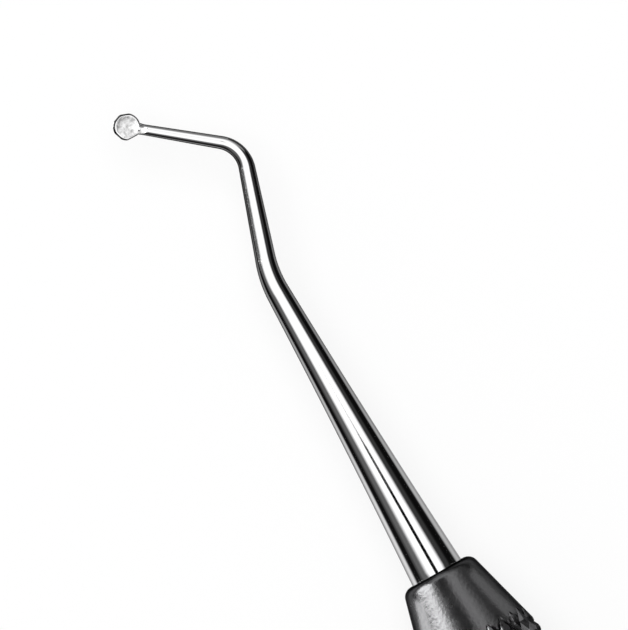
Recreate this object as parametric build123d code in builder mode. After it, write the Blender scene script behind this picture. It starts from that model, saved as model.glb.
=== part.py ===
from math import cos, pi, radians, sin, tan
import os

from build123d import *

# A double-ended dental spoon excavator lying on its handle.
# The handle runs along X, both shanks bend in the level plane of its axis,
# and Z = 0 is the surface that it rests on. Sizes are in millimetres.

# Handle, outside
handle_length = 100.0
handle_diameter = 8.5
nose_diameter = 5.15
nose_half_angle = 15.0
nose_rounding = 0.75
band_step = 0.1
band_chamfer = 0.3
relief_width = 0.8
relief_depth = 0.1

# Diamond knurl of the two grips
knurl_count = 24
knurl_depth = 0.45
knurl_helix_angle = 30.0
knurl_length = 24.0
knurl_lip = 0.02

# Handle, inside
socket_diameter = 3.72
socket_depth = 14.0
wall_thickness = 0.7

# Working end: tang in its socket
tang_gap = 0.01
tang_chamfer = 0.3

# Working end: lengths between the corners of its centre line, and the two bends
shank_length = 22.65
middle_length = 8.93
terminal_length = 7.9
shank_bend_angle = 18.1
shank_bend_radius = 8.0
neck_bend_angle = 69.1
neck_bend_radius = 2.15
bend_step_angle = 12.0

# Working end: diameters from the handle to the spoon
shank_waist_diameter = 2.51
shank_end_diameter = 1.66
middle_start_diameter = 1.4
middle_end_diameter = 1.12
terminal_diameter = 0.86
neck_diameter = 0.7
neck_root_diameter = 0.5

# Spoon blade, heights from the centre line
spoon_diameter = 1.82
rim_height = 0.12
rim_width = 0.17
rim_bevel = 0.08
edge_thickness = 0.16
back_depth = 0.38
bowl_depth = 0.16
scoop_run = 0.45
scoop_headroom = 0.2

# Worked out from the sizes above
handle_radius = handle_diameter / 2
valley_radius = handle_radius - knurl_depth
core_radius = valley_radius - relief_depth
band_radius = handle_radius - band_step
socket_radius = socket_diameter / 2
bore_radius = core_radius - wall_thickness
tang_radius = socket_radius - tang_gap
spoon_radius = spoon_diameter / 2
neck_radius = neck_diameter / 2
knurl_start = (valley_radius - nose_diameter / 2) / tan(radians(nose_half_angle))
knurl_pitch = pi * handle_diameter / knurl_count / tan(radians(knurl_helix_angle))
knurl_rows = 2 * round(knurl_length / knurl_pitch)
knurl_end = knurl_start + knurl_rows * knurl_pitch / 2
rest_height = handle_radius * cos(pi / knurl_count / 2)
left_nose = -handle_length / 2
handle_axis = Axis((0, 0, rest_height), (1, 0, 0))
side_plane = Plane((0, 0, rest_height), x_dir=(1, 0, 0), z_dir=(0, -1, 0))


def knurl_ring(row):
    """Points round one row of the knurl: peaks and crossings of the grooves take turns."""
    distance = knurl_start + row * knurl_pitch / 2
    cone_radius = nose_diameter / 2 + distance * tan(radians(nose_half_angle))
    points = []
    for column in range(2 * knurl_count):
        is_peak = (row + column) % 2 == 0 and 0 < row < knurl_rows
        radius = min(handle_radius, cone_radius) if is_peak else valley_radius + knurl_lip
        angle = (column + 0.5) * pi / knurl_count
        points.append(
            Vector(left_nose + distance, radius * cos(angle), rest_height + radius * sin(angle))
        )
    return points


def knurled_bar():
    """A solid length of bar whose skin is rows of diamonds, each of four triangles."""
    rings = [knurl_ring(row) for row in range(knurl_rows + 1)]
    faces = [Face(Wire.make_polygon(rings[0])), Face(Wire.make_polygon(rings[-1]))]
    for row in range(knurl_rows):
        for column in range(2 * knurl_count):
            beside = (column + 1) % (2 * knurl_count)
            near, near_beside = rings[row][column], rings[row][beside]
            far, far_beside = rings[row + 1][column], rings[row + 1][beside]
            if (row + column) % 2 == 0:
                triangles = [(near, near_beside, far), (far_beside, far, near_beside)]
            else:
                triangles = [(near_beside, far_beside, near), (far, near, far_beside)]
            faces += [Face(Wire.make_polygon(corners)) for corners in triangles]
    return Solid(Shell(faces))


left_knurl = knurled_bar()
right_knurl = left_knurl.mirror(Plane.YZ)

# Handle: a tube, turned outside with a cone at each end, two knurled grips and a smooth band
# that lies just below the knurl's peaks. Its bore narrows to a socket at each end.
with BuildPart() as handle:
    with BuildSketch(side_plane):
        with BuildLine():
            Polyline(
                (left_nose, 0),
                (left_nose, nose_diameter / 2),
                (left_nose + knurl_start, valley_radius),
                (left_nose + knurl_start, core_radius),
                (left_nose + knurl_end + relief_width, core_radius),
                (left_nose + knurl_end + relief_width, band_radius - band_chamfer),
                (left_nose + knurl_end + relief_width + band_chamfer, band_radius),
                (0, band_radius),
                (0, 0),
                close=True,
            )
        make_face()
        nose_corner = vertices().group_by(Axis.X)[0].sort_by(Axis.Y)[-1]
        fillet(nose_corner, nose_rounding)
        mirror(about=Plane.YZ)
    revolve(axis=handle_axis)
    add([left_knurl, right_knurl])
    with BuildSketch(side_plane):
        with BuildLine():
            Polyline(
                (left_nose, 0),
                (left_nose, socket_radius),
                (left_nose + socket_depth, socket_radius),
                (left_nose + socket_depth, bore_radius),
                (0, bore_radius),
                (0, 0),
                close=True,
            )
        make_face()
        mirror(about=Plane.YZ)
    revolve(axis=handle_axis, mode=Mode.SUBTRACT)

# Working end: the centre line from the nose face to the middle of the spoon
nose_point = Vector(left_nose, 0, rest_height)
shank_corner = nose_point + Vector(-shank_length, 0)
middle_heading = -shank_bend_angle
neck_corner = shank_corner + Vector(-middle_length, 0).rotate(Axis.Z, middle_heading)
terminal_heading = middle_heading + neck_bend_angle
spoon_centre = neck_corner + Vector(-terminal_length, 0).rotate(Axis.Z, terminal_heading)

with BuildLine() as centre_line:
    FilletPolyline(
        nose_point,
        shank_corner,
        neck_corner,
        spoon_centre,
        radius=(shank_bend_radius, neck_bend_radius),
    )
shank, shank_bend, middle, neck_bend, terminal = centre_line.wires()[0].edges()
neck = 1 - spoon_radius / terminal.length
spoon_plane = Plane(spoon_centre, x_dir=(1, 0, 0), z_dir=(0, -1, 0))
spoon_axis = Axis(spoon_centre, (0, 0, 1))


def cross_section(stretch, position):
    """The plane square to a stretch of the centre line, at a share of its length."""
    return Plane(stretch @ position, x_dir=(0, 0, 1), z_dir=stretch % position)


# Working end: one forging of tang, tapered and bent shank, and spoon blade
with BuildPart() as working_end_left:
    # Tang and shank, turned straight, with one long hollow curve from the nose to the bend
    with BuildSketch(side_plane):
        with BuildLine():
            flare = ThreePointArc(
                (left_nose, tang_radius),
                (left_nose - shank.length / 2, shank_waist_diameter / 2),
                (left_nose - shank.length, shank_end_diameter / 2),
            )
            Polyline(
                flare @ 1,
                (left_nose - shank.length, 0),
                (left_nose + socket_depth, 0),
                (left_nose + socket_depth, tang_radius - tang_chamfer),
                (left_nose + socket_depth - tang_chamfer, tang_radius),
                (left_nose, tang_radius),
            )
        make_face()
    revolve(axis=handle_axis)

    # The bends and the straight tapers between and beyond them, in steps that follow the arcs
    for stretch, share, start_diameter, end_diameter in (
        (shank_bend, 1, shank_end_diameter, middle_start_diameter),
        (middle, 1, middle_start_diameter, middle_end_diameter),
        (neck_bend, 1, middle_end_diameter, terminal_diameter),
        (terminal, neck, terminal_diameter, neck_diameter),
    ):
        turn = (stretch % 0).get_angle(stretch % 1)
        steps = max(1, round(turn / bend_step_angle))
        for step in range(steps):
            grown = step / steps
            with BuildSketch(cross_section(stretch, share * grown)):
                Circle((start_diameter + (end_diameter - start_diameter) * grown) / 2)
    with BuildSketch(cross_section(terminal, neck)):
        Circle(neck_radius)
    with BuildSketch(cross_section(terminal, 1)):
        Circle(neck_root_diameter / 2)
    loft(ruled=True)

    # Blade: a round back and a thin edge with a bevelled rim
    with BuildSketch(spoon_plane):
        with BuildLine():
            back = TangentArc(
                (0, -back_depth),
                (spoon_radius, rim_height - edge_thickness),
                tangent=(1, 0),
            )
            Polyline(back @ 1, (spoon_radius, rim_height), (0, rim_height), back @ 0)
        make_face()
        rim_corner = vertices().group_by(Axis.Y)[-1].sort_by(Axis.X)[-1]
        chamfer(rim_corner, rim_bevel)
    revolve(axis=spoon_axis)

    # The hollow of the bowl, ground on over the rim and out through the top of the neck
    with BuildSketch(spoon_plane):
        with BuildLine():
            bowl = TangentArc(
                (0, rim_height - bowl_depth),
                (spoon_radius - rim_width, rim_height),
                tangent=(1, 0),
            )
            rim = Line(bowl @ 1, (spoon_radius, rim_height))
            ramp = TangentArc(rim @ 1, (spoon_radius + scoop_run, neck_radius), tangent=(1, 0))
            Polyline(
                ramp @ 1,
                (spoon_radius + scoop_run, neck_radius + scoop_headroom),
                (0, neck_radius + scoop_headroom),
                bowl @ 0,
            )
        make_face()
    revolve(axis=spoon_axis, mode=Mode.SUBTRACT)

# The other end is the mirrored forging, turned over, so that the two make a left and a right
with BuildPart() as working_end_right:
    add(working_end_left.part.mirror(Plane.YZ).rotate(handle_axis, 180))

handle.part.label = "handle"
working_end_left.part.label = "working_end_left"
working_end_right.part.label = "working_end_right"

os.makedirs("parts", exist_ok=True)
export_step(handle.part, "parts/handle.step")
export_step(working_end_left.part, "parts/working_end_left.step")
export_step(working_end_right.part, "parts/working_end_right.step")
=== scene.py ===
from math import atan2, cos, hypot, pi, radians, sin, sqrt, tan

import bpy
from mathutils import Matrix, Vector


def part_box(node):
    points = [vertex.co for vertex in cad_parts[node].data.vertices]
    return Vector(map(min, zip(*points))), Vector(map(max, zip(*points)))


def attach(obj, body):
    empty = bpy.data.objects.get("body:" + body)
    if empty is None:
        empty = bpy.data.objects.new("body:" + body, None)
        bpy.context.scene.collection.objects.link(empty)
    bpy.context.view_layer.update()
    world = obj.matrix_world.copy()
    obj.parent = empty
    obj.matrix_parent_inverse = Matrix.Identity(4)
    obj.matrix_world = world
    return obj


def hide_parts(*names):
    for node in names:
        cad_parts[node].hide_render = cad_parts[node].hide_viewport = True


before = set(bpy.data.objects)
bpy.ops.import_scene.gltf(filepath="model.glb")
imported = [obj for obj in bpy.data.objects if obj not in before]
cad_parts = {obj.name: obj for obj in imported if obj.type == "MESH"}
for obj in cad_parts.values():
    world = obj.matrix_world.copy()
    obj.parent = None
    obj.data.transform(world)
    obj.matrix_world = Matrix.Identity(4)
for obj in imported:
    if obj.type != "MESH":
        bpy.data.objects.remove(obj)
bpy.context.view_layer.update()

# Handle. A stainless steel tube, turned on a lathe with a cone at each end, rolled with two
# diamond-knurled grips round a smooth band, then blasted to a dark satin. Its grain is fine and
# uneven, the knurl's points are rubbed a little brighter, and the front faces have painted shade.
mm = 0.001
handle_low, handle_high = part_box("handle")
axis_height = (handle_low.z + handle_high.z) / 2
handle_half = handle_high.x
knurl_count = 24
handle_radius = axis_height / cos(pi / knurl_count / 2)
nose_radius = 2.575 * mm
nose_half_angle = radians(15)
nose_slope = tan(nose_half_angle)
nose_rounding = 0.75 * mm
mouth_chamfer = 0.06 * mm
knurl_depth = 0.45 * mm
knurl_helix = radians(30)
grip_length = 24 * mm
relief_width = 0.8 * mm
relief_depth = 0.1 * mm
band_step = 0.1 * mm
band_chamfer = 0.3 * mm
socket_radius = 1.86 * mm
socket_depth = 14 * mm
bore_radius = 3.0 * mm
valley_radius = handle_radius - knurl_depth
core_radius = valley_radius - relief_depth
band_radius = handle_radius - band_step
knurl_start = (valley_radius - nose_radius) / nose_slope
knurl_pitch = 2 * pi * handle_radius / knurl_count / tan(knurl_helix)
knurl_pitches = round(grip_length / knurl_pitch)
knurl_end = knurl_start + knurl_pitches * knurl_pitch
cells_per_diamond = 10
handle_columns = knurl_count * cells_per_diamond
flank_gain = 1.15
end_chamfer_slope = tan(radians(30))
rounding_steps = 10
cone_steps = 8
band_steps = 5
handle_crease = radians(24)
satin_dark = (0.097, 0.097, 0.099)
satin_rubbed = (0.3, 0.3, 0.303)
rubbed_share = 0.8
rub_starts_below = 0.09 * mm
rub_full_below = 0.01 * mm
# Painted shade: the front faces darken where the shank goes in, in place of the shadow there
painted_front_shade = 0.3
painted_front_shade_starts = 0.22 * mm
painted_front_shade_full = 0.1 * mm


def ridge(position):
    """Height of a groove's flank, from 0 in the groove to 1 on the flat between two grooves."""
    return min(1, flank_gain * 2 * abs(position - round(position)))


def knurl_radius(row, column):
    """Radius of the knurl at a row and column of its net of cells."""
    along, around = row / cells_per_diamond, column / cells_per_diamond
    distance = knurl_start + along * knurl_pitch
    diamond = valley_radius + knurl_depth * min(ridge(along + around), ridge(along - around))
    cone = nose_radius + distance * nose_slope
    shoulder = valley_radius + (knurl_end - distance) * end_chamfer_slope
    return min(diamond, cone, shoulder)


def nose_profile():
    """Points (distance from the nose, radius) of the flat face, its rounded edge and the cone."""
    face_turn = pi / 2 - nose_half_angle
    set_back = nose_rounding * tan(face_turn / 2)
    centre = (nose_rounding, nose_radius - set_back)
    points = [(0, socket_radius + mouth_chamfer), (0, (socket_radius + centre[1]) / 2)]
    for step in range(rounding_steps + 1):
        turn = face_turn * step / rounding_steps
        points.append(
            (centre[0] - nose_rounding * cos(turn), centre[1] + nose_rounding * sin(turn))
        )
    last_distance, last_radius = points[-1]
    for step in range(1, cone_steps):
        share = step / cone_steps
        distance = last_distance + (knurl_start - last_distance) * share
        points.append((distance, last_radius + (valley_radius - last_radius) * share))
    return points


def half_handle_rings():
    """Rings from the middle of the bore, out round the nose, to the middle of the band.

    Each ring is its distance from the nose and the radius of each of its columns."""
    rings = []
    inside = [
        (handle_half, bore_radius),
        (socket_depth, bore_radius),
        (socket_depth, socket_radius),
        (mouth_chamfer, socket_radius),
    ]
    for distance, radius in inside + nose_profile():
        rings.append((distance, [radius] * handle_columns))
    for row in range(knurl_pitches * cells_per_diamond + 1):
        distance = knurl_start + row * knurl_pitch / cells_per_diamond
        rings.append((distance, [knurl_radius(row, column) for column in range(handle_columns)]))
    band_start = knurl_end + relief_width
    outside = [
        (knurl_end, core_radius),
        (band_start, core_radius),
        (band_start, band_radius - band_chamfer),
        (band_start + band_chamfer, band_radius),
    ]
    for step in range(1, band_steps):
        along_band = (handle_half - band_start) * step / band_steps
        outside.append((band_start + band_chamfer + along_band, band_radius))
    for distance, radius in outside:
        rings.append((distance, [radius] * handle_columns))
    return rings


def is_knurl_cell(distance):
    """Whether the cells that start at a distance from the nose belong to the grip."""
    rounding_error = 1e-9
    return knurl_start - rounding_error <= distance < knurl_end - rounding_error


def make_handle():
    """The whole handle as one closed mesh."""
    half = half_handle_rings()
    rings = [(distance - handle_half, radii, distance) for distance, radii in half]
    rings += [(handle_half - distance, radii, distance) for distance, radii in reversed(half[1:])]
    turn = 2 * pi / handle_columns
    vertices = []
    for x, radii, _ in rings:
        for column, radius in enumerate(radii):
            angle = (column - cells_per_diamond / 4) * turn
            vertices.append((x, radius * cos(angle), axis_height + radius * sin(angle)))
    faces = []
    for ring in range(len(rings)):
        following = (ring + 1) % len(rings)
        here, there = rings[ring], rings[following]
        knurled = is_knurl_cell(min(here[2], there[2])) and abs(here[2] - there[2]) < knurl_pitch
        row = round((min(here[2], there[2]) - knurl_start) / knurl_pitch * cells_per_diamond)
        for column in range(handle_columns):
            beside = (column + 1) % handle_columns
            a = ring * handle_columns + column
            b = ring * handle_columns + beside
            c = following * handle_columns + beside
            d = following * handle_columns + column
            if not knurled:
                faces.append((a, b, c, d))
                continue
            along = (row + 0.5) / cells_per_diamond
            around = (column + 0.5) / cells_per_diamond
            rising = ridge(along - around) < ridge(along + around)
            if here[2] > there[2]:
                rising = not rising
            if rising:
                faces += [(a, b, c), (a, c, d)]
            else:
                faces += [(a, b, d), (b, c, d)]
    mesh = bpy.data.meshes.new("handle_turned")
    mesh.from_pydata(vertices, [], faces)
    mesh.polygons.foreach_set("use_smooth", [True] * len(mesh.polygons))
    mesh.set_sharp_from_angle(angle=handle_crease)
    turned = bpy.data.objects.new("handle_turned", mesh)
    bpy.context.scene.collection.objects.link(turned)
    return turned


def new_material(name):
    """A new material, its node tree and its shader."""
    material = bpy.data.materials.new(name)
    material.use_nodes = True
    return material, material.node_tree, material.node_tree.nodes["Principled BSDF"]


def grain_group():
    """Blasted or ground metal: uneven tone, roughness and height from two sizes of noise."""
    group = bpy.data.node_groups.new("metal_grain", "ShaderNodeTree")
    for name in ("Scale", "Tone spread", "Rough from", "Rough to"):
        group.interface.new_socket(name, in_out="INPUT", socket_type="NodeSocketFloat")
    for name in ("Tone", "Roughness", "Height"):
        group.interface.new_socket(name, in_out="OUTPUT", socket_type="NodeSocketFloat")
    nodes, links = group.nodes, group.links
    given = nodes.new("NodeGroupInput")
    out = nodes.new("NodeGroupOutput")
    place = nodes.new("ShaderNodeTexCoord")
    fine = nodes.new("ShaderNodeTexNoise")
    fine.inputs["Detail"].default_value = 3.0
    links.new(place.outputs["Object"], fine.inputs["Vector"])
    links.new(given.outputs["Scale"], fine.inputs["Scale"])
    coarse_scale = nodes.new("ShaderNodeMath")
    coarse_scale.operation = "MULTIPLY"
    coarse_scale.inputs[1].default_value = 0.17
    links.new(given.outputs["Scale"], coarse_scale.inputs[0])
    coarse = nodes.new("ShaderNodeTexNoise")
    coarse.inputs["Detail"].default_value = 4.0
    links.new(place.outputs["Object"], coarse.inputs["Vector"])
    links.new(coarse_scale.outputs[0], coarse.inputs["Scale"])
    both = nodes.new("ShaderNodeMix")
    both.inputs["Factor"].default_value = 0.4
    links.new(fine.outputs["Fac"], both.inputs["A"])
    links.new(coarse.outputs["Fac"], both.inputs["B"])
    tone_low = nodes.new("ShaderNodeMath")
    tone_low.operation = "SUBTRACT"
    tone_low.inputs[0].default_value = 1.0
    links.new(given.outputs["Tone spread"], tone_low.inputs[1])
    tone_high = nodes.new("ShaderNodeMath")
    tone_high.operation = "ADD"
    tone_high.inputs[0].default_value = 1.0
    links.new(given.outputs["Tone spread"], tone_high.inputs[1])
    noise_low, noise_high = 0.3, 0.7
    tone = nodes.new("ShaderNodeMapRange")
    tone.inputs["From Min"].default_value = noise_low
    tone.inputs["From Max"].default_value = noise_high
    links.new(both.outputs["Result"], tone.inputs["Value"])
    links.new(tone_low.outputs[0], tone.inputs["To Min"])
    links.new(tone_high.outputs[0], tone.inputs["To Max"])
    rough = nodes.new("ShaderNodeMapRange")
    rough.inputs["From Min"].default_value = noise_low
    rough.inputs["From Max"].default_value = noise_high
    links.new(coarse.outputs["Fac"], rough.inputs["Value"])
    links.new(given.outputs["Rough from"], rough.inputs["To Min"])
    links.new(given.outputs["Rough to"], rough.inputs["To Max"])
    links.new(tone.outputs["Result"], out.inputs["Tone"])
    links.new(rough.outputs["Result"], out.inputs["Roughness"])
    links.new(both.outputs["Result"], out.inputs["Height"])
    return group


metal_grain = grain_group()


def grain_node(tree, shader, scale, tone_spread, rough_from, rough_to, strength, depth):
    """Puts the grain into a material: its roughness and bump are joined, its tone is returned."""
    grain = tree.nodes.new("ShaderNodeGroup")
    grain.node_tree = metal_grain
    grain.inputs["Scale"].default_value = scale
    grain.inputs["Tone spread"].default_value = tone_spread
    grain.inputs["Rough from"].default_value = rough_from
    grain.inputs["Rough to"].default_value = rough_to
    bump = tree.nodes.new("ShaderNodeBump")
    bump.inputs["Strength"].default_value = strength
    bump.inputs["Distance"].default_value = depth
    tree.links.new(grain.outputs["Height"], bump.inputs["Height"])
    tree.links.new(bump.outputs["Normal"], shader.inputs["Normal"])
    tree.links.new(grain.outputs["Roughness"], shader.inputs["Roughness"])
    return grain.outputs["Tone"]


def tinted(tree, colour, tone):
    """A colour, written as three numbers or made by a node, lighter and darker by a tone."""
    scaled = tree.nodes.new("ShaderNodeVectorMath")
    scaled.operation = "SCALE"
    if isinstance(colour, tuple):
        scaled.inputs[0].default_value = colour
    else:
        tree.links.new(colour, scaled.inputs[0])
    tree.links.new(tone, scaled.inputs["Scale"])
    return scaled.outputs["Vector"]


def distance_from_axis(tree, parts):
    """How far a point of the handle is from its axis."""
    lowered = tree.nodes.new("ShaderNodeMath")
    lowered.operation = "SUBTRACT"
    lowered.inputs[1].default_value = axis_height
    tree.links.new(parts.outputs["Z"], lowered.inputs[0])
    from_axis = tree.nodes.new("ShaderNodeCombineXYZ")
    tree.links.new(parts.outputs["Y"], from_axis.inputs["Y"])
    tree.links.new(lowered.outputs[0], from_axis.inputs["Z"])
    length = tree.nodes.new("ShaderNodeVectorMath")
    length.operation = "LENGTH"
    tree.links.new(from_axis.outputs["Vector"], length.inputs[0])
    return length.outputs["Value"]


def satin_steel():
    """The handle's dark satin: bright knurl points, and painted shade on the front faces."""
    material, tree, shader = new_material("satin_steel")
    shader.inputs["Metallic"].default_value = 1.0
    shader.inputs["Specular Tint"].default_value = (0.25, 0.25, 0.25, 1)
    tone = grain_node(
        tree,
        shader,
        scale=4500,
        tone_spread=0.12,
        rough_from=0.2,
        rough_to=0.28,
        strength=0.55,
        depth=0.04 * mm,
    )
    place = tree.nodes.new("ShaderNodeTexCoord")
    parts = tree.nodes.new("ShaderNodeSeparateXYZ")
    tree.links.new(place.outputs["Object"], parts.inputs["Vector"])
    worn = tree.nodes.new("ShaderNodeMapRange")
    worn.inputs["From Min"].default_value = handle_radius - rub_starts_below
    worn.inputs["From Max"].default_value = handle_radius - rub_full_below
    worn.inputs["To Max"].default_value = rubbed_share
    tree.links.new(distance_from_axis(tree, parts), worn.inputs["Value"])
    mixed = tree.nodes.new("ShaderNodeMix")
    mixed.data_type = "RGBA"
    tree.links.new(worn.outputs["Result"], mixed.inputs["Factor"])
    tree.links.new(tinted(tree, satin_dark, tone), mixed.inputs["A"])
    tree.links.new(tinted(tree, satin_rubbed, tone), mixed.inputs["B"])
    from_middle = tree.nodes.new("ShaderNodeMath")
    from_middle.operation = "ABSOLUTE"
    tree.links.new(parts.outputs["X"], from_middle.inputs[0])
    # Painted shade: the colour darkens towards the front faces of the nose
    front = tree.nodes.new("ShaderNodeMapRange")
    front.inputs["From Min"].default_value = handle_half - painted_front_shade_starts
    front.inputs["From Max"].default_value = handle_half - painted_front_shade_full
    front.inputs["To Min"].default_value = 1.0
    front.inputs["To Max"].default_value = painted_front_shade
    tree.links.new(from_middle.outputs[0], front.inputs["Value"])
    colour = tinted(tree, mixed.outputs["Result"], front.outputs["Result"])
    tree.links.new(colour, shader.inputs["Base Color"])
    return material


handle_turned = make_handle()
handle_turned.data.materials.append(satin_steel())
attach(handle_turned, "root")
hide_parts("handle")

# Working ends. Each is one forging of stainless steel: a round tang bonded into the handle's
# socket, a shank turned to a long hollow taper, two bends, and a round spoon blade. The tube is
# polished bright, the blade's rim is ground by hand, and the hollow of the bowl is left frosted.
tang_radius = 1.85 * mm
tang_chamfer = 0.3 * mm
shank_length = 22.65 * mm
middle_length = 8.90 * mm
terminal_length = 7.84 * mm
shank_bend = radians(18.1)
shank_bend_radius = 8.0 * mm
neck_bend = radians(69.1)
neck_bend_radius = 2.15 * mm
shank_waist_radius = 1.255 * mm
shank_end_radius = 0.83 * mm
middle_start_radius = 0.7 * mm
middle_end_radius = 0.56 * mm
terminal_radius = 0.445 * mm
neck_radius = 0.36 * mm
neck_root_radius = 0.25 * mm
neck_reach = 1.7 * mm
shank_rows = 64
shank_bend_rows = 24
middle_rows = 24
neck_bend_rows = 40
terminal_rows = 24
neck_rows = 22
half_ring = 48
ring_size = 2 * half_ring
forged_crease = radians(35)

# Blade, with heights from the centre line. The hollow is ground a little towards the neck, so
# that the rim's bevel is wider at the toe.
spoon_radius = 0.91 * mm
rim_height = 0.12 * mm
rim_width = 0.17 * mm
rim_flat = 0.055 * mm
rim_slope = radians(50)
rim_side = 0.012 * mm
edge_thickness = 0.17 * mm
back_depth = 0.38 * mm
bowl_depth = 0.12 * mm
hollow_shift = 0.045 * mm
hollow_radius = spoon_radius - rim_width
flat_end = hollow_radius + rim_flat
slope_end = spoon_radius - rim_side
bowl_rings = 14
bevel_rings = 4
back_rings = 20
edge_columns = 90

# Flats that the grinding leaves on the edge: where each one faces, in degrees from the neck,
# and how far from the middle it is, as a share of the blade's radius
edge_flats = [(-52.5, 0.915), (-122, 0.945), (150, 0.965), (108.6, 0.95)]
flat_blend = 0.02
flat_fade = 3

# Where the neck meets the blade: the groove that leads out of the bowl, and the small webs
groove_radius = 0.42 * mm
scoop_run = 0.45 * mm
web_outer = 0.06 * mm
web_inner = 0.03 * mm
web_length = 0.4 * mm
web_start = 0.9 * spoon_radius
neck_join = 0.93 * spoon_radius
under_blend = 0.05 * mm

polished_grey = (0.68, 0.68, 0.685)
frosted_grey = (0.72, 0.72, 0.72)
ground_grey = (0.5, 0.5, 0.502)


def centre_line():
    """Stations from the tang's inner end to the neck: x, y, heading and the tube's radius."""
    first_set_back = shank_bend_radius * tan(shank_bend / 2)
    second_set_back = neck_bend_radius * tan(neck_bend / 2)
    straight = shank_length - first_set_back
    stations = []
    x, y, heading = -handle_half, 0.0, pi
    stations.append((x + socket_depth, y, heading, tang_radius - tang_chamfer))
    stations.append((x + socket_depth - tang_chamfer, y, heading, tang_radius))

    # The shank's hollow curve passes through the radius at the nose, the waist and the bend
    for row in range(shank_rows + 1):
        share = row / shank_rows
        radius = (
            tang_radius * (1 - share) * (1 - 2 * share)
            + 4 * shank_waist_radius * share * (1 - share)
            + shank_end_radius * share * (2 * share - 1)
        )
        stations.append((x - straight * share, y, heading, radius))
    x -= straight

    def straight_run(length, from_radius, to_radius, rows):
        nonlocal x, y
        for row in range(1, rows + 1):
            share = row / rows
            stations.append(
                (
                    x + length * share * cos(heading),
                    y + length * share * sin(heading),
                    heading,
                    from_radius + (to_radius - from_radius) * share,
                )
            )
        x += length * cos(heading)
        y += length * sin(heading)

    def bend(turn, bend_radius, from_radius, to_radius, rows):
        nonlocal x, y, heading
        side = 1 if turn > 0 else -1
        centre_x = x - side * bend_radius * sin(heading)
        centre_y = y + side * bend_radius * cos(heading)
        start = heading
        for row in range(1, rows + 1):
            share = row / rows
            heading = start + turn * share
            stations.append(
                (
                    centre_x + side * bend_radius * sin(heading),
                    centre_y - side * bend_radius * cos(heading),
                    heading,
                    from_radius + (to_radius - from_radius) * share,
                )
            )
        x, y = stations[-1][0], stations[-1][1]

    bend(-shank_bend, shank_bend_radius, shank_end_radius, middle_start_radius, shank_bend_rows)
    middle_straight = middle_length - first_set_back - second_set_back
    straight_run(middle_straight, middle_start_radius, middle_end_radius, middle_rows)
    bend(neck_bend, neck_bend_radius, middle_end_radius, terminal_radius, neck_bend_rows)
    terminal_straight = terminal_length - second_set_back
    tube = terminal_straight - neck_reach
    full = terminal_straight - spoon_radius
    reach_radius = terminal_radius + (neck_radius - terminal_radius) * tube / full
    straight_run(tube, terminal_radius, reach_radius, terminal_rows)
    return stations, reach_radius


stations, reach_radius = centre_line()


def arc_height(run, rise, distance):
    """Height of an arc that starts level and has risen by rise after run, at a distance."""
    radius = (run * run + rise * rise) / (2 * rise)
    return radius - sqrt(radius * radius - min(distance, run) ** 2)


def neck_size(distance):
    """Radius of the neck at a distance from the middle of the bowl."""
    if distance < spoon_radius:
        return neck_root_radius + (neck_radius - neck_root_radius) * max(distance, 0) / spoon_radius
    share = (distance - spoon_radius) / (neck_reach - spoon_radius)
    return neck_radius + (reach_radius - neck_radius) * share


def neck_half_width(distance, outer):
    """Half the neck's width in plan, on the outer or inner side of its bend, with its web."""
    spread = web_outer if outer else web_inner
    share = min(1, max(0, (distance - web_start) / web_length))
    return neck_size(distance) + spread * (1 - share) ** 2


def smooth_lower(first, second, blend):
    """The lower of two heights, rounded off where they cross."""
    share = min(1, max(0, 0.5 + 0.5 * (second - first) / blend))
    return second + (first - second) * share - blend * share * (1 - share)


def top_height(distance, stretch=1):
    """Height of the bowl's hollow, its rim and the rim's bevel, which is stretched at the toe."""
    if distance <= hollow_radius:
        return rim_height - bowl_depth + arc_height(hollow_radius, bowl_depth, distance)
    if distance <= flat_end:
        return rim_height
    bevelled = rim_height - (min(distance, slope_end) - flat_end) * stretch * tan(rim_slope)
    share = max(0, distance - slope_end) / rim_side
    return bevelled + (rim_height - edge_thickness - bevelled) * share


def back_height(distance):
    """Height of the blade's round back."""
    edge = rim_height - edge_thickness
    return -back_depth + arc_height(spoon_radius, edge + back_depth, distance)


def scoop_height(distance, side):
    """Height of the groove that the bowl's hollow leaves over the rim and out of the neck."""
    grown = min(1, max(0, (distance - hollow_radius) / rim_width))
    shoulders = side * side / (2 * groove_radius) * grown
    beyond = distance - spoon_radius
    if beyond > scoop_run:
        return neck_radius * 2
    rise = arc_height(scoop_run, neck_radius - rim_height, max(0, beyond))
    return rim_height + rise + shoulders


def edge_scale(angle):
    """How far out the blade's edge is at an angle, as a share of its radius."""
    scale = 1
    for middle, depth in edge_flats:
        facing = cos(angle - radians(middle))
        if facing > 0.5:
            scale = smooth_lower(scale, depth / facing, flat_blend)
    return scale


def flattened(distance, angle):
    """A distance from the middle of the bowl, brought in by the flats, most at the edge."""
    return distance * (1 + (edge_scale(angle) - 1) * (distance / spoon_radius) ** flat_fade)


def spoon_columns():
    """Angles round the blade: first across the neck, then on round the free edge.

    Each has its index across the neck, or None on the free edge."""
    columns = []
    for index in range(half_ring + 1):
        side = cos(pi * index / half_ring)
        half = neck_half_width(neck_join, side > 0)
        columns.append((atan2(side * half, sqrt(spoon_radius**2 - (side * half) ** 2)), index))
    first, last = columns[0][0], columns[-1][0]
    for index in range(1, edge_columns):
        columns.append((last - (2 * pi + last - first) * index / edge_columns, None))
    return columns


blade_columns = spoon_columns()


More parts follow.
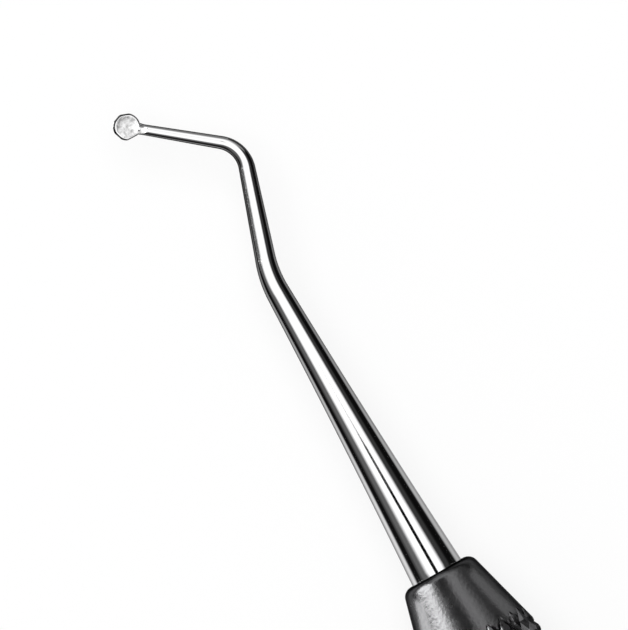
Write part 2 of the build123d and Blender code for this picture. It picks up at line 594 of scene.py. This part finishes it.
def add_tube(add, faces):
    """Tang, shank, bends and terminal: rings round the centre line. Returns the last ring."""
    rings = []
    for x, y, heading, radius in stations:
        ring = []
        for step in range(ring_size):
            angle = 2 * pi * step / ring_size
            side = radius * cos(angle)
            ring.append(add(x + side * sin(heading), y - side * cos(heading), radius * sin(angle)))
        rings.append(ring)
    tang_middle = add(stations[0][0], 0, 0)
    for step in range(ring_size):
        beside = (step + 1) % ring_size
        faces.append((tang_middle, rings[0][step], rings[0][beside]))
        for ring, following in zip(rings, rings[1:]):
            faces.append((ring[step], following[step], following[beside], ring[beside]))
    return rings[-1]


def top_ring(add_blade, distance):
    """One ring of the bowl's hollow, the rim or its bevel, with the groove across the neck."""
    shift = hollow_shift * min(1, (spoon_radius - distance) / rim_width)
    ring = []
    for angle, index in blade_columns:
        place = flattened(distance, angle)
        z = top_height(distance, 1 - cos(angle) * hollow_shift / rim_width)
        if index is not None and distance > flat_end:
            neck_top = neck_size(distance) * sin(pi * index / half_ring)
            z = max(z, min(scoop_height(distance, distance * sin(angle)), neck_top))
        ring.append(add_blade(place * cos(angle) + shift, place * sin(angle), z))
    return ring


def back_ring(add_blade, distance, edge=None):
    """One ring of the round back. The outermost one shares the free edge of the top."""
    ring = []
    for column, (angle, index) in enumerate(blade_columns):
        if edge and index is None:
            ring.append(edge[column])
            continue
        place = flattened(distance, angle)
        along, side = place * cos(angle), place * sin(angle)
        z = back_height(distance)
        if along > 0:
            share = min(1, abs(side) / neck_half_width(along, side > 0))
            if edge:
                share = abs(cos(pi * index / half_ring))
            under = -neck_size(along) * sqrt(1 - share * share)
            z = smooth_lower(z, under, under_blend)
        ring.append(add_blade(along, side, z))
    return ring


def add_blade_faces(add_blade, faces, frosted, ground):
    """The blade: hollow, rim, bevel and back. Returns the top and the back ring of its edge."""
    top_radii = [hollow_radius * step / bowl_rings for step in range(1, bowl_rings + 1)]
    for step in range(bevel_rings + 1):
        top_radii.append(flat_end + (slope_end - flat_end) * step / bevel_rings)
    top_radii += [slope_end + rim_side * 0.5, spoon_radius]
    top = [top_ring(add_blade, distance) for distance in top_radii]
    back = [back_ring(add_blade, spoon_radius, edge=top[-1])]
    for step in range(back_rings - 1, 0, -1):
        back.append(back_ring(add_blade, spoon_radius * step / back_rings))
    top_middle = add_blade(hollow_shift, 0, top_height(0))
    back_middle = add_blade(0, 0, -back_depth)
    for column in range(len(blade_columns)):
        beside = (column + 1) % len(blade_columns)
        frosted.add(len(faces))
        faces.append((top_middle, top[0][beside], top[0][column]))
        for row, (ring, following) in enumerate(zip(top, top[1:])):
            if row < bowl_rings - 1:
                frosted.add(len(faces))
            elif row >= bowl_rings and column >= half_ring:
                ground.add(len(faces))
            faces.append((ring[column], ring[beside], following[beside], following[column]))
        for ring, following in zip(back, back[1:]):
            faces.append((ring[column], ring[beside], following[beside], following[column]))
        faces.append((back[-1][column], back[-1][beside], back_middle))
    faces.append((top[-1][half_ring], top[-1][half_ring + 1], back[0][half_ring]))
    faces.append((top[-1][-1], top[-1][0], back[0][0]))
    return top[-1], back[0]


def add_neck(add_blade, faces, frosted, edge_top, edge_back, terminal_ring):
    """From the blade's edge to the terminal's last ring, with the bowl's groove in its top."""
    over, under = [edge_top[: half_ring + 1]], [edge_back[: half_ring + 1]]
    scooped = {}
    for row in range(1, neck_rows):
        share = row / neck_rows
        upper, lower = [], []
        for angle, index in blade_columns[: half_ring + 1]:
            edge = spoon_radius * edge_scale(angle) * cos(angle)
            along = edge + (neck_reach - edge) * share
            turn = pi * index / half_ring
            side = neck_half_width(along, cos(turn) > 0) * cos(turn)
            height = neck_size(along) * sin(turn)
            ramp = scoop_height(hypot(along, side), side)
            scooped[row, index] = ramp < height
            if index in (0, half_ring):
                shared = add_blade(along, side, 0)
                upper.append(shared)
                lower.append(shared)
            else:
                upper.append(add_blade(along, side, min(height, ramp)))
                lower.append(add_blade(along, side, -height))
        over.append(upper)
        under.append(lower)
    over.append([terminal_ring[index] for index in range(half_ring + 1)])
    under.append([terminal_ring[-index % ring_size] for index in range(half_ring + 1)])
    for near_top, far_top, near_back, far_back, row in zip(
        over, over[1:], under, under[1:], range(1, neck_rows + 1)
    ):
        for index in range(half_ring):
            beside = index + 1
            if scooped.get((row, index)) and scooped.get((row, beside)):
                frosted.add(len(faces))
            faces.append((near_top[index], near_top[beside], far_top[beside], far_top[index]))
            faces.append((near_back[beside], near_back[index], far_back[index], far_back[beside]))
    faces.append((over[0][0], over[1][0], under[0][0]))
    faces.append((over[0][-1], under[0][-1], over[1][-1]))


def make_working_end(name, across):
    """One forging. across is 1 for the left end, and -1 for the end that is its opposite."""
    vertices, faces, frosted, ground = [], [], set(), set()
    neck_x, neck_y, heading, _ = stations[-1]
    centre_x = neck_x + neck_reach * cos(heading)
    centre_y = neck_y + neck_reach * sin(heading)

    def add(x, y, z):
        vertices.append((across * x, across * y, axis_height + across * z))
        return len(vertices) - 1

    def add_blade(along, side, z):
        """A point in the blade's own axes, from the middle of the bowl towards the neck."""
        return add(
            centre_x - along * cos(heading) + side * sin(heading),
            centre_y - along * sin(heading) - side * cos(heading),
            z,
        )

    terminal_ring = add_tube(add, faces)
    edge_top, edge_back = add_blade_faces(add_blade, faces, frosted, ground)
    add_neck(add_blade, faces, frosted, edge_top, edge_back, terminal_ring)
    if across < 0:
        faces = [face[::-1] for face in faces]

    mesh = bpy.data.meshes.new(name)
    mesh.from_pydata(vertices, [], faces)
    for polygon in mesh.polygons:
        polygon.use_smooth = True
        polygon.material_index = 1 if polygon.index in frosted else 2 if polygon.index in ground else 0
    mesh.set_sharp_from_angle(angle=forged_crease)
    mesh.validate()
    end = bpy.data.objects.new(name, mesh)
    bpy.context.scene.collection.objects.link(end)
    return end


def bright_steel(name, grey, **grain):
    """One of the forging's finishes: bare steel with its own grain."""
    material, tree, shader = new_material(name)
    shader.inputs["Metallic"].default_value = 1.0
    tone = grain_node(tree, shader, **grain)
    tree.links.new(tinted(tree, grey, tone), shader.inputs["Base Color"])
    return material


polished_steel = bright_steel(
    "polished_steel",
    polished_grey,
    scale=2500,
    tone_spread=0.03,
    rough_from=0.05,
    rough_to=0.09,
    strength=0.05,
    depth=0.01 * mm,
)
frosted_steel = bright_steel(
    "frosted_steel",
    frosted_grey,
    scale=4600,
    tone_spread=0.75,
    rough_from=0.36,
    rough_to=0.5,
    strength=0.6,
    depth=0.03 * mm,
)
ground_edge = bright_steel(
    "ground_edge",
    ground_grey,
    scale=4500,
    tone_spread=0.3,
    rough_from=0.12,
    rough_to=0.2,
    strength=0.6,
    depth=0.01 * mm,
)

for side_name, across in (("left", 1), ("right", -1)):
    forged = make_working_end(f"forged_end_{side_name}", across)
    for finish in (polished_steel, frosted_steel, ground_edge):
        forged.data.materials.append(finish)
    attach(forged, "root")
    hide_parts(f"working_end_{side_name}")

# Table and surround. A white table top and a white room, which light the instrument softly. The
# camera and the steel see the room at full brightness, and everything else sees half of that.
room_light = 0.5
table_half = 6.0
table_grey = 0.9
world = bpy.data.worlds.new("white_surround")
bpy.context.scene.world = world
world.use_nodes = True
nodes, links = world.node_tree.nodes, world.node_tree.links
nodes.clear()


def seen_directly(tree, in_camera, in_steel):
    """One share for the camera's own rays, and one for what steel and glass reflect or let by."""
    path = tree.nodes.new("ShaderNodeLightPath")
    mirrored = tree.nodes.new("ShaderNodeMath")
    mirrored.operation = "ADD"
    mirrored.use_clamp = True
    tree.links.new(path.outputs["Is Glossy Ray"], mirrored.inputs[0])
    tree.links.new(path.outputs["Is Transmission Ray"], mirrored.inputs[1])
    weighed = tree.nodes.new("ShaderNodeMath")
    weighed.operation = "MULTIPLY"
    weighed.inputs[1].default_value = in_steel
    tree.links.new(mirrored.outputs[0], weighed.inputs[0])
    total = tree.nodes.new("ShaderNodeMath")
    total.operation = "MULTIPLY_ADD"
    total.use_clamp = True
    total.inputs[1].default_value = in_camera
    tree.links.new(path.outputs["Is Camera Ray"], total.inputs[0])
    tree.links.new(weighed.outputs[0], total.inputs[2])
    return total.outputs[0]


def level_square(half, height):
    """Corners of a level square round the middle of the table."""
    return [(-half, -half, height), (half, -half, height), (half, half, height), (-half, half, height)]


white = nodes.new("ShaderNodeBackground")
white.inputs["Color"].default_value = (1, 1, 1, 1)
soft = nodes.new("ShaderNodeBackground")
soft.inputs["Color"].default_value = (1, 1, 1, 1)
soft.inputs["Strength"].default_value = room_light
choose = nodes.new("ShaderNodeMixShader")
world_out = nodes.new("ShaderNodeOutputWorld")
direct = seen_directly(world.node_tree, in_camera=1.0, in_steel=1.0)
links.new(direct, choose.inputs["Fac"])
links.new(soft.outputs[0], choose.inputs[1])
links.new(white.outputs[0], choose.inputs[2])
links.new(choose.outputs[0], world_out.inputs["Surface"])

table_mesh = bpy.data.meshes.new("table_top")
table_mesh.from_pydata(level_square(table_half, 0), [], [(0, 1, 2, 3)])
table_top = bpy.data.objects.new("table_top", table_mesh)
bpy.context.scene.collection.objects.link(table_top)
table_white, tree, shader = new_material("table_white")
shader.inputs["Base Color"].default_value = (table_grey, table_grey, table_grey, 1)
shader.inputs["Roughness"].default_value = 0.9
shader.inputs["Specular IOR Level"].default_value = 0.0
glow = tree.nodes.new("ShaderNodeEmission")
glow.inputs["Color"].default_value = (1, 1, 1, 1)
blend = tree.nodes.new("ShaderNodeMixShader")
tree.links.new(seen_directly(tree, in_camera=0.8, in_steel=0.2), blend.inputs["Fac"])
tree.links.new(shader.outputs[0], blend.inputs[1])
tree.links.new(glow.outputs[0], blend.inputs[2])
tree.links.new(blend.outputs[0], tree.nodes["Material Output"].inputs["Surface"])
table_top.data.materials.append(table_white)

# Tent: a half sphere of cloth over the table, which only the steel shows. Each patch is its
# middle (degrees from straight up, azimuth), the angles from there where it is full and where it
# ends, and how bright it is. A patch covers the ones before it.
tent_radius = 2.5
tent_rows, tent_columns = 24, 48
tent_grey = 0.28
patches = [
    ((60, 268), 24, 44, 0.16),
    ((62, 86), 24, 40, 0.05),
    ((84, 273), 13, 24, 0.07),
    ((88, 262), 7, 15, 0.006),
    ((84, 84), 16, 28, 0.005),
    ((80, 318), 22, 36, 0.02),
    ((62, 142), 10, 28, 0.9),
    ((90, 142), 8, 24, 0.28),
    ((78, 118), 9, 17, 0.3),
    ((76, 180), 12, 24, 1.1),
    ((44, 238), 5, 18, 0.9),
    ((26.6, 181), 32.5, 47.5, 1.55),
    ((6, 330), 18, 30, 1.55),
    ((34, 188), 14, 23, 0.06),
]


def only_reflected(obj):
    """A card of the tent: steel shows it, and nothing else does."""
    obj.visible_camera = False
    obj.visible_diffuse = False
    obj.visible_transmission = False
    obj.visible_shadow = False
    obj.visible_volume_scatter = False


def towards(polar, azimuth):
    """Unit vector a polar angle away from straight up, towards an azimuth from +X."""
    return Vector(
        (
            sin(radians(polar)) * cos(radians(azimuth)),
            sin(radians(polar)) * sin(radians(azimuth)),
            cos(radians(polar)),
        )
    )


def glowing_cloth(name):
    """A material that only glows, and its node tree and glow."""
    cloth, tree, shader = new_material(name)
    tree.nodes.remove(shader)
    glow = tree.nodes.new("ShaderNodeEmission")
    tree.links.new(glow.outputs[0], tree.nodes["Material Output"].inputs["Surface"])
    return cloth, tree, glow


vertices = [(0, 0, tent_radius)]
faces = []
for row in range(1, tent_rows + 1):
    for column in range(tent_columns):
        direction = towards(90 * row / tent_rows, 360 * column / tent_columns)
        vertices.append(tuple(direction * tent_radius))
for column in range(tent_columns):
    beside = (column + 1) % tent_columns
    faces.append((0, 1 + beside, 1 + column))
    for row in range(tent_rows - 1):
        a, b = 1 + row * tent_columns + column, 1 + row * tent_columns + beside
        faces.append((a, b, b + tent_columns, a + tent_columns))
tent_mesh = bpy.data.meshes.new("tent")
tent_mesh.from_pydata(vertices, [], faces)
tent = bpy.data.objects.new("tent", tent_mesh)
bpy.context.scene.collection.objects.link(tent)
only_reflected(tent)
tent_cloth, tree, glow = glowing_cloth("tent_cloth")
place = tree.nodes.new("ShaderNodeTexCoord")
unit = tree.nodes.new("ShaderNodeVectorMath")
unit.operation = "NORMALIZE"
tree.links.new(place.outputs["Object"], unit.inputs[0])
strength = None
for middle, full, end, brightness in patches:
    facing = tree.nodes.new("ShaderNodeVectorMath")
    facing.operation = "DOT_PRODUCT"
    facing.inputs[1].default_value = towards(*middle)
    tree.links.new(unit.outputs["Vector"], facing.inputs[0])
    inside = tree.nodes.new("ShaderNodeMapRange")
    inside.interpolation_type = "SMOOTHSTEP"
    inside.inputs["From Min"].default_value = cos(radians(end))
    inside.inputs["From Max"].default_value = cos(radians(full))
    tree.links.new(facing.outputs["Value"], inside.inputs["Value"])
    mix = tree.nodes.new("ShaderNodeMix")
    mix.inputs["B"].default_value = brightness
    if strength is None:
        mix.inputs["A"].default_value = tent_grey
    else:
        tree.links.new(strength, mix.inputs["A"])
    tree.links.new(inside.outputs["Result"], mix.inputs["Factor"])
    strength = mix.outputs["Result"]
tree.links.new(strength, glow.inputs["Strength"])
tent.data.materials.append(tent_cloth)

# Cards, also seen in the steel alone. A dark lens shade hangs over the instrument and draws the
# thin line along the shank's middle, a lamp card on the left gives the nose its bright band, and
# upright strips brighten the shank beside the nose and the outer side of the terminal.
lens_height = 0.1
lens_black = 0.002
lens_outline = [(-74.5, 0), (-72.1, 0.4), (-70.2, 0.8), (-69, 3), (-68, 11.2)]
lamp_distance = 2.3
lamp_corners = [(90, 212), (90, 245.6), (49, 243), (46, 213)]
lamp_brightness = 8.4

# Each strip is its two ends in plan and its lower and upper height, in mm, and its brightness
strips = [
    ("left_strip", (-50.1, -5), (-45.6, -5), 5, 7.2, 5.0),
    ("right_strip", (-50.1, 5), (-45.6, 5), 5, 7.2, 1.0),
    ("neck_strip", (-87.3, 7.8), (-92.3, 1.7), 0.3, 4.5, 0.25),
]


def glowing_card(name, corners, brightness):
    """A flat card that glows."""
    mesh = bpy.data.meshes.new(name)
    mesh.from_pydata([tuple(corner) for corner in corners], [], [tuple(range(len(corners)))])
    card = bpy.data.objects.new(name, mesh)
    bpy.context.scene.collection.objects.link(card)
    cloth, tree, glow = glowing_cloth(name + "_cloth")
    glow.inputs["Strength"].default_value = brightness
    card.data.materials.append(cloth)
    only_reflected(card)
    return card


near_edge = [(x, -y) for x, y in lens_outline] + [(-x, -y) for x, y in lens_outline[::-1]]
far_edge = [(x, -y) for x, y in near_edge[-2:0:-1]]
lens_corners = [(x * mm, y * mm, lens_height) for x, y in near_edge + far_edge]
glowing_card("lens_shade", lens_corners, lens_black)
glowing_card(
    "left_lamp", [towards(*corner) * lamp_distance for corner in lamp_corners], lamp_brightness
)
for name, (x1, y1), (x2, y2), low, high, brightness in strips:
    corners = [(x1, y1, low), (x2, y2, low), (x2, y2, high), (x1, y1, high)]
    glowing_card(name, [Vector(corner) * mm for corner in corners], brightness)

# Paper under the instrument, a glowing card as its polished sides show it: lightest a centimetre
# to each side, dark further out, a painted shadow of the instrument under it, and darker below
# the ends. Each shade is its distance from the handle's axis in millimetres and its grey.
paper_reach = 2.0
paper_height = 0.2 * mm
shade_reach = 30
# The low greys round the middle are the instrument's painted shadow
paper_shades = [
    (-30, 0.01),
    (-21, 0.1),
    (-16, 0.5),
    (-12, 1.0),
    (-8, 1.1),
    (-5.4, 0.7),
    (-3.4, 0.3),
    (-2, 0.12),
    (0, 0.1),
    (2, 0.15),
    (3.4, 0.38),
    (5.4, 0.48),
    (8, 0.7),
    (12, 0.6),
    (16, 0.35),
    (21, 0.06),
    (30, 0.01),
]
ends_start, ends_full = 56 * mm, 79 * mm
middle_strength, ends_strength = 0.92, 0.12
paper = glowing_card("table_paper", level_square(paper_reach, paper_height), 1.0)
tree = paper.data.materials[0].node_tree
place = tree.nodes.new("ShaderNodeTexCoord")
parts = tree.nodes.new("ShaderNodeSeparateXYZ")
tree.links.new(place.outputs["Object"], parts.inputs["Vector"])
across_paper = tree.nodes.new("ShaderNodeMapRange")
across_paper.inputs["From Min"].default_value = -shade_reach * mm
across_paper.inputs["From Max"].default_value = shade_reach * mm
tree.links.new(parts.outputs["Y"], across_paper.inputs["Value"])
shades = tree.nodes.new("ShaderNodeValToRGB")
tree.links.new(across_paper.outputs["Result"], shades.inputs["Fac"])
while len(shades.color_ramp.elements) < len(paper_shades):
    shades.color_ramp.elements.new(1.0)
for element, (distance, grey) in zip(shades.color_ramp.elements, paper_shades):
    element.position = 0.5 + distance / (2 * shade_reach)
    element.color = (grey, grey, grey, 1)
from_middle = tree.nodes.new("ShaderNodeMath")
from_middle.operation = "ABSOLUTE"
tree.links.new(parts.outputs["X"], from_middle.inputs[0])
along_paper = tree.nodes.new("ShaderNodeMapRange")
along_paper.inputs["From Min"].default_value = ends_start
along_paper.inputs["From Max"].default_value = ends_full
along_paper.inputs["To Min"].default_value = middle_strength
along_paper.inputs["To Max"].default_value = ends_strength
tree.links.new(from_middle.outputs[0], along_paper.inputs["Value"])
tree.links.new(shades.outputs["Color"], tree.nodes["Emission"].inputs["Color"])
tree.links.new(along_paper.outputs["Result"], tree.nodes["Emission"].inputs["Strength"])

# Soft light: a round lamp overhead, which gives the table the instrument's faint shadow. The
# steel shows the tent in its place.
lamp_data = bpy.data.lights.new("soft_light", "AREA")
lamp_data.shape = "DISK"
lamp_data.size = 1.6
lamp_data.energy = 20
lamp = bpy.data.objects.new("soft_light", lamp_data)
lamp.location = towards(20, 186) * 1.6
lamp.rotation_mode = "QUATERNION"
lamp.rotation_quaternion = lamp.location.to_track_quat("Z", "Y")
lamp.visible_camera = False
lamp.visible_glossy = False
bpy.context.scene.collection.objects.link(lamp)

# Camera: straight above the table, with a long lens, turned so that the handle runs to the lower
# right. Its distance makes a millimetre 15 pixels wide.
camera_data = bpy.data.cameras.new("camera")
camera_data.lens = 1200
camera_data.sensor_width = 36
camera_data.clip_start = 0.01
camera_data.clip_end = 20
pixels_per_metre = 15000
picture_long_side = 630
picture_turn = radians(60.4356)
aim = Vector((-68.97 * mm, 1.35 * mm, axis_height))
camera_distance = camera_data.lens / camera_data.sensor_width * picture_long_side / pixels_per_metre
camera = bpy.data.objects.new("camera", camera_data)
camera.location = aim + Vector((0, 0, camera_distance))
camera.rotation_mode = "XYZ"
camera.rotation_euler = (0, 0, picture_turn)
bpy.context.scene.collection.objects.link(camera)
bpy.context.scene.camera = camera

bpy.context.scene.view_settings.view_transform = "Standard"
